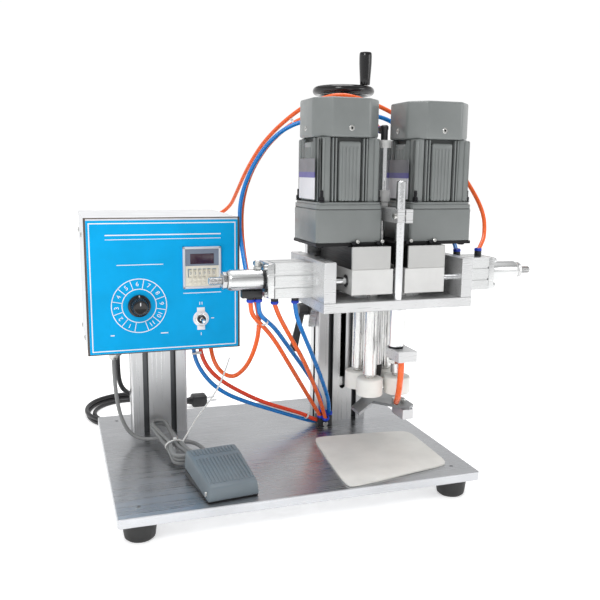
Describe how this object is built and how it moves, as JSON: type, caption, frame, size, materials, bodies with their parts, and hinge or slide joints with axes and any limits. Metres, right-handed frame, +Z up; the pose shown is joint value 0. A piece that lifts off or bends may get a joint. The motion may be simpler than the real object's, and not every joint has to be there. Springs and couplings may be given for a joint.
{
  "type": "capping machine",
  "caption": "Bench machine that spins caps onto bottles: motor-driven rollers on a hand-raised head over a flat base, with a control box and a foot pedal.",
  "frame": {"origin": "on the table, under the centre of the machine's bounding box without its free cords", "axes": "+X to the right seen from the control panel's front, -Y towards the operator, +Z up"},
  "size_m": [0.62, 0.5685, 0.596],
  "materials": {
    "silver_plate": "satin anodised",
    "foot_rubber": "matt",
    "mat_rubber": "matt, off-white",
    "extrusion": "satin anodised, ribbed",
    "steel": "turned",
    "bright_steel": "ground and polished",
    "black_gloss": "glossy",
    "black_matte": "moulded",
    "box_sheet": "silver powder coat",
    "panel_blue": "printed film",
    "wheel_white": "silicone, cream white",
    "block_blast": "bead blasted",
    "block_brushed": "brushed",
    "motor_grey": "semi-gloss grey",
    "dark_bracket": "satin dark grey",
    "brass_nut": "machined",
    "tube_orange": "polyurethane tube",
    "pedal_grey": "fine texture",
    "cord_grey": "sheath",
    "cord_black": "sheath",
    "gear_steel": "hobbed, greased"
  },
  "bodies": {
    "base": {"base_plate": "silver_plate", "rubber_feet": "foot_rubber", "bottle_mat": "mat_rubber", "main_column": "extrusion", "control_column": "extrusion", "column_top_plate": "silver_plate", "screw_bearings": "steel", "box_shell": "box_sheet", "box_panel": "panel_blue", "timer_case": "black_matte", "box_electronics": "black_matte", "glands_and_manifold": "black_matte", "base_screws": "steel", "pedal_base": "black_matte", "mains_cord": "cord_black", "mains_coil": "cord_black", "mains_plug": "cord_black", "pedal_cord": "cord_grey", "pedal_hank": "cord_grey", "air_tubes": "tube_orange"},
    "carriage": {"head_floor": "silver_plate", "head_walls": "silver_plate", "column_slider": "dark_bracket", "lead_nut": "brass_nut", "carriage_rods": "bright_steel", "air_cylinders": "block_brushed", "tube_fittings": "black_matte", "post_arms": "silver_plate", "neck_guide": "dark_bracket", "carriage_screws": "steel", "neck_hose": "tube_orange"},
    "screw": {"lead_screw": "steel", "handwheel": "black_gloss"},
    "grip": {"handwheel_grip": "black_gloss"},
    "press": {"press_plunger": "bright_steel"},
    "clamp": {"clamp_lever": "black_gloss"},
    "dial": {"dial_knob": "black_gloss"},
    "toggle": {"toggle_lever": "bright_steel"},
    "treadle": {"pedal_cover": "pedal_grey"},
    "digits": {"timer_wheels": "black_gloss"},
    "left_slide": {"left_lower_block": "block_blast", "left_upper_block": "block_brushed", "left_gearbox": "motor_grey", "left_motor": "motor_grey", "left_piston": "bright_steel"},
    "left_drive": {"left_drive_pinion": "gear_steel"},
    "left_front_roller": {"left_front_spindle": "steel", "left_front_wheel": "wheel_white"},
    "left_rear_roller": {"left_rear_spindle": "steel", "left_rear_wheel": "wheel_white"},
    "right_slide": {"right_lower_block": "block_blast", "right_upper_block": "block_brushed", "right_gearbox": "motor_grey", "right_motor": "motor_grey", "right_piston": "bright_steel"},
    "right_drive": {"right_drive_pinion": "gear_steel"},
    "right_front_roller": {"right_front_spindle": "steel", "right_front_wheel": "wheel_white"},
    "right_rear_roller": {"right_rear_spindle": "steel", "right_rear_wheel": "wheel_white"}
  },
  "joints": [
    {"name": "carriage_lift", "type": "slide", "parent": "base", "child": "carriage", "axis": [0, 0, 1], "range_m": [-0.03, 0.12], "deforming": ["air_tubes"]},
    {"name": "screw_turn", "type": "hinge", "parent": "base", "child": "screw", "pos_m": [0.0735, 0.064, 0.5], "axis": [0, 0, 1], "range_deg": [-2710, 10810]},
    {"name": "grip_spin", "type": "hinge", "parent": "screw", "child": "grip", "pos_m": [0.09325, 0.02979, 0.57], "axis": [0, 0, 1], "continuous": true},
    {"name": "press_stroke", "type": "slide", "parent": "carriage", "child": "press", "axis": [0, 0, -1], "range_m": [-0.008, 0.012]},
    {"name": "clamp_turn", "type": "hinge", "parent": "carriage", "child": "clamp", "pos_m": [0.0135, 0.064, 0.215], "axis": [1, 0, 0], "range_deg": [-60, 60]},
    {"name": "dial_turn", "type": "hinge", "parent": "base", "child": "dial", "pos_m": [-0.239, 0.013, 0.2408], "axis": [0, -1, 0], "range_deg": [-150, 150]},
    {"name": "toggle_tilt", "type": "hinge", "parent": "base", "child": "toggle", "pos_m": [-0.1545, 0.008, 0.2187], "axis": [1, 0, 0], "range_deg": [-12, 12]},
    {"name": "treadle_press", "type": "hinge", "parent": "base", "child": "treadle", "pos_m": [-0.15613, -0.1778, 0.046], "axis": [-0.9945, -0.1045, 0], "range_deg": [0, 2.3], "stiffness_Nm_per_rad": 6, "springref_deg": -1.72},
    {"name": "digit_turn", "type": "hinge", "parent": "base", "child": "digits", "pos_m": [-0.1525, 0.022, 0.282], "axis": [1, 0, 0], "continuous": true},
    {"name": "left_slide", "type": "slide", "parent": "carriage", "child": "left_slide", "axis": [-1, 0, 0], "range_m": [0, 0.018]},
    {"name": "left_drive", "type": "hinge", "parent": "left_slide", "child": "left_drive", "pos_m": [0.0334, -0.085, 0.3], "axis": [0, 0, 1], "continuous": true},
    {"name": "left_front_roller", "type": "hinge", "parent": "left_slide", "child": "left_front_roller", "pos_m": [0.053, -0.105, 0.2], "axis": [0, 0, 1], "continuous": true},
    {"name": "left_rear_roller", "type": "hinge", "parent": "left_slide", "child": "left_rear_roller", "pos_m": [0.053, -0.065, 0.2], "axis": [0, 0, 1], "continuous": true},
    {"name": "right_slide", "type": "slide", "parent": "carriage", "child": "right_slide", "axis": [1, 0, 0], "range_m": [0, 0.018]},
    {"name": "right_drive", "type": "hinge", "parent": "right_slide", "child": "right_drive", "pos_m": [0.1136, -0.085, 0.3], "axis": [0, 0, 1], "continuous": true},
    {"name": "right_front_roller", "type": "hinge", "parent": "right_slide", "child": "right_front_roller", "pos_m": [0.094, -0.105, 0.2], "axis": [0, 0, 1], "continuous": true},
    {"name": "right_rear_roller", "type": "hinge", "parent": "right_slide", "child": "right_rear_roller", "pos_m": [0.094, -0.065, 0.2], "axis": [0, 0, 1], "continuous": true}
  ],
  "couplings": [
    {"joint": "screw_turn", "follows": "carriage_lift", "rad_per_m": 1570.8},
    {"joint": "left_front_roller", "follows": "left_drive", "ratio": -2.1111},
    {"joint": "left_rear_roller", "follows": "left_drive", "ratio": -2.1111},
    {"joint": "right_front_roller", "follows": "right_drive", "ratio": -2.1111},
    {"joint": "right_rear_roller", "follows": "right_drive", "ratio": -2.1111}
  ]
}
